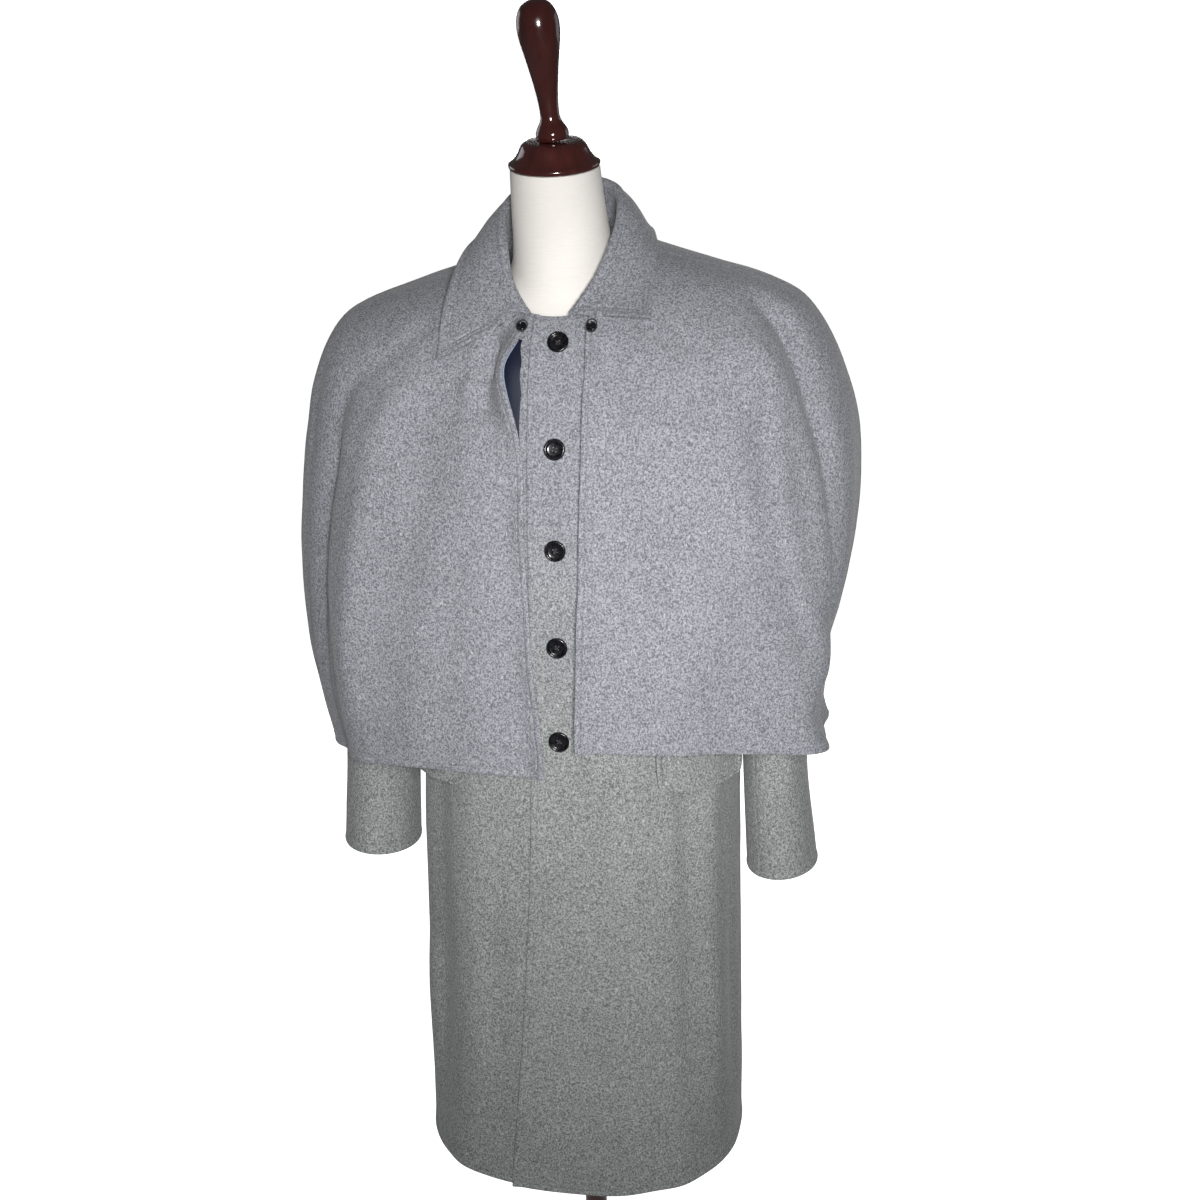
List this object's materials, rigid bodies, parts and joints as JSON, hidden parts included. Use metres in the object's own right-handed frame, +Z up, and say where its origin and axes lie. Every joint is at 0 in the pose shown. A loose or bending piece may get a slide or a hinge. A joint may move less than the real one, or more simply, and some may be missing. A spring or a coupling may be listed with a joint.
{
  "type": "wool cape coat on a dress form",
  "caption": "Single-breasted wool overcoat with a detachable shoulder cape, worn open-hollow on a limbless dress form with a turned stand.",
  "frame": {"origin": "centre of the stand base's flat underside, on the floor", "axes": "+Z up, the coat's front faces -Y, the wearer's left side is +X"},
  "size_m": [0.6765, 0.4124, 1.7477],
  "materials": {
    "wool": "mottled grey heather melton, napped and matte",
    "lining": "smooth navy lining",
    "buttons": "glossy black",
    "linen": "tight cream linen",
    "lacquer": "dark red-brown lacquered wood"
  },
  "bodies": {
    "root": {"coat_front_left": "wool", "coat_front_right": "wool", "coat_back": "wool", "sleeve_left_top": "wool", "sleeve_left_under": "wool", "sleeve_right_top": "wool", "sleeve_right_under": "wool", "collar": "wool", "pocket_flap_left": "wool", "pocket_flap_right": "wool", "cape_front_left": "wool", "cape_front_right": "wool", "cape_back": "wool", "cape_lining_left": "lining", "cape_lining_right": "lining", "button_1": "buttons", "button_2": "buttons", "button_3": "buttons", "button_4": "buttons", "button_5": "buttons", "cape_button_left": "buttons", "cape_button_right": "buttons", "dress_form": "linen", "neck_cap": "lacquer", "finial": "lacquer", "stand_pole": "lacquer", "stand_base": "lacquer"}
  },
  "joints": []
}
